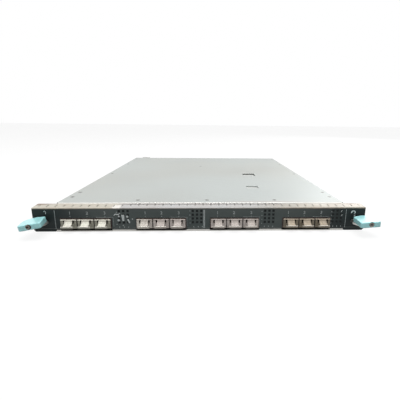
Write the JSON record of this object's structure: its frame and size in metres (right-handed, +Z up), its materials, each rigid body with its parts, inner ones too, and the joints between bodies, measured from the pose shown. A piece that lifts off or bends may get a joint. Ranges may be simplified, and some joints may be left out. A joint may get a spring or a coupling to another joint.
{
  "type": "network interface module",
  "caption": "Wide flat network line card: black front panel with covered transceiver ports and indicators, teal ejector handles and a light grey sheet-metal body.",
  "frame": {"origin": "centre of the tray's underside, halfway between the panel's front face and the tray's rear edge", "axes": "+X to the right seen from the front panel, +Y to the rear, +Z up"},
  "size_m": [0.4425, 0.5833, 0.0329],
  "materials": {
    "panel_paint": "satin black, teal cast",
    "spring_metal": "bright spring strip",
    "tray_metal": "bare zinc-plated sheet",
    "cover_metal": "light grey, satin",
    "cage_metal": "plated cage sheet",
    "plug_metal": "warm grey plated sheet",
    "light_guide": "dark smoked plastic",
    "grip_plastic": "light teal, moulded",
    "lever_steel": "stamped steel",
    "screw_steel": "plated screws and pins",
    "board": "green circuit board",
    "chip": "dark epoxy",
    "heat_sink": "extruded",
    "connector": "dark moulded",
    "guide": "cast"
  },
  "bodies": {
    "root": {"front_panel": "panel_paint", "spring_strip": "spring_metal", "tray": "tray_metal", "top_cover": "cover_metal", "cover_screws": "screw_steel", "front_brace": "tray_metal", "rear_brace": "tray_metal", "cover_pillar": "screw_steel", "main_board": "board", "panel_nuts": "screw_steel", "board_standoffs": "screw_steel", "board_screws": "screw_steel", "power_modules": "chip", "power_connector": "connector", "port_cage_1": "cage_metal", "cage_shield_1": "cage_metal", "led_array_1": "light_guide", "port_cage_2": "cage_metal", "cage_shield_2": "cage_metal", "led_array_2": "light_guide", "port_cage_3": "cage_metal", "cage_shield_3": "cage_metal", "led_array_3": "light_guide", "port_cage_4": "cage_metal", "cage_shield_4": "cage_metal", "led_array_4": "light_guide", "pivot_bracket_left": "lever_steel", "pivot_pin_left": "screw_steel", "processor_left": "chip", "heat_sink_left": "heat_sink", "backplane_connector_left": "connector", "guide_block_left": "guide", "pivot_bracket_right": "lever_steel", "pivot_pin_right": "screw_steel", "processor_right": "chip", "heat_sink_right": "heat_sink", "backplane_connector_right": "connector", "guide_block_right": "guide"},
    "handle_left": {"handle_left_grip": "grip_plastic", "handle_left_lever": "lever_steel", "lever_screws_left": "screw_steel"},
    "captive_left": {"captive_screw_left": "screw_steel"},
    "handle_right": {"handle_right_grip": "grip_plastic", "handle_right_lever": "lever_steel", "lever_screws_right": "screw_steel"},
    "captive_right": {"captive_screw_right": "screw_steel"},
    "cover_1_1": {"port_cover_1_1": "plug_metal"},
    "cover_1_2": {"port_cover_1_2": "plug_metal"},
    "cover_1_3": {"port_cover_1_3": "plug_metal"},
    "cover_2_1": {"port_cover_2_1": "plug_metal"},
    "cover_2_2": {"port_cover_2_2": "plug_metal"},
    "cover_2_3": {"port_cover_2_3": "plug_metal"},
    "cover_3_1": {"port_cover_3_1": "plug_metal"},
    "cover_3_2": {"port_cover_3_2": "plug_metal"},
    "cover_3_3": {"port_cover_3_3": "plug_metal"},
    "cover_4_1": {"port_cover_4_1": "plug_metal"},
    "cover_4_2": {"port_cover_4_2": "plug_metal"},
    "cover_4_3": {"port_cover_4_3": "plug_metal"}
  },
  "joints": [
    {"name": "left_handle_swing", "type": "hinge", "parent": "root", "child": "handle_left", "pos_m": [-0.2115, -0.263, 0.01325], "axis": [0, 0, 1], "range_deg": [-8, 10]},
    {"name": "right_handle_swing", "type": "hinge", "parent": "root", "child": "handle_right", "pos_m": [0.2115, -0.263, 0.01325], "axis": [0, 0, -1], "range_deg": [0, 18]},
    {"name": "left_captive_turn", "type": "hinge", "parent": "handle_left", "child": "captive_left", "pos_m": [-0.20601, -0.29252, 0.01739], "axis": [-0.1392, 0.9903, 0], "continuous": true},
    {"name": "right_captive_turn", "type": "hinge", "parent": "handle_right", "child": "captive_right", "pos_m": [0.20914, -0.293, 0.01854], "axis": [0, 1, 0], "continuous": true},
    {"name": "port_cover_1_1_slide", "type": "slide", "parent": "root", "child": "cover_1_1", "axis": [0, -1, 0], "range_m": [0, 0.015]},
    {"name": "port_cover_1_2_slide", "type": "slide", "parent": "root", "child": "cover_1_2", "axis": [0, -1, 0], "range_m": [0, 0.015]},
    {"name": "port_cover_1_3_slide", "type": "slide", "parent": "root", "child": "cover_1_3", "axis": [0, -1, 0], "range_m": [0, 0.015]},
    {"name": "port_cover_2_1_slide", "type": "slide", "parent": "root", "child": "cover_2_1", "axis": [0, -1, 0], "range_m": [0, 0.015]},
    {"name": "port_cover_2_2_slide", "type": "slide", "parent": "root", "child": "cover_2_2", "axis": [0, -1, 0], "range_m": [0, 0.015]},
    {"name": "port_cover_2_3_slide", "type": "slide", "parent": "root", "child": "cover_2_3", "axis": [0, -1, 0], "range_m": [0, 0.015]},
    {"name": "port_cover_3_1_slide", "type": "slide", "parent": "root", "child": "cover_3_1", "axis": [0, -1, 0], "range_m": [0, 0.015]},
    {"name": "port_cover_3_2_slide", "type": "slide", "parent": "root", "child": "cover_3_2", "axis": [0, -1, 0], "range_m": [0, 0.015]},
    {"name": "port_cover_3_3_slide", "type": "slide", "parent": "root", "child": "cover_3_3", "axis": [0, -1, 0], "range_m": [0, 0.015]},
    {"name": "port_cover_4_1_slide", "type": "slide", "parent": "root", "child": "cover_4_1", "axis": [0, -1, 0], "range_m": [0, 0.015]},
    {"name": "port_cover_4_2_slide", "type": "slide", "parent": "root", "child": "cover_4_2", "axis": [0, -1, 0], "range_m": [0, 0.015]},
    {"name": "port_cover_4_3_slide", "type": "slide", "parent": "root", "child": "cover_4_3", "axis": [0, -1, 0], "range_m": [0, 0.015]}
  ]
}
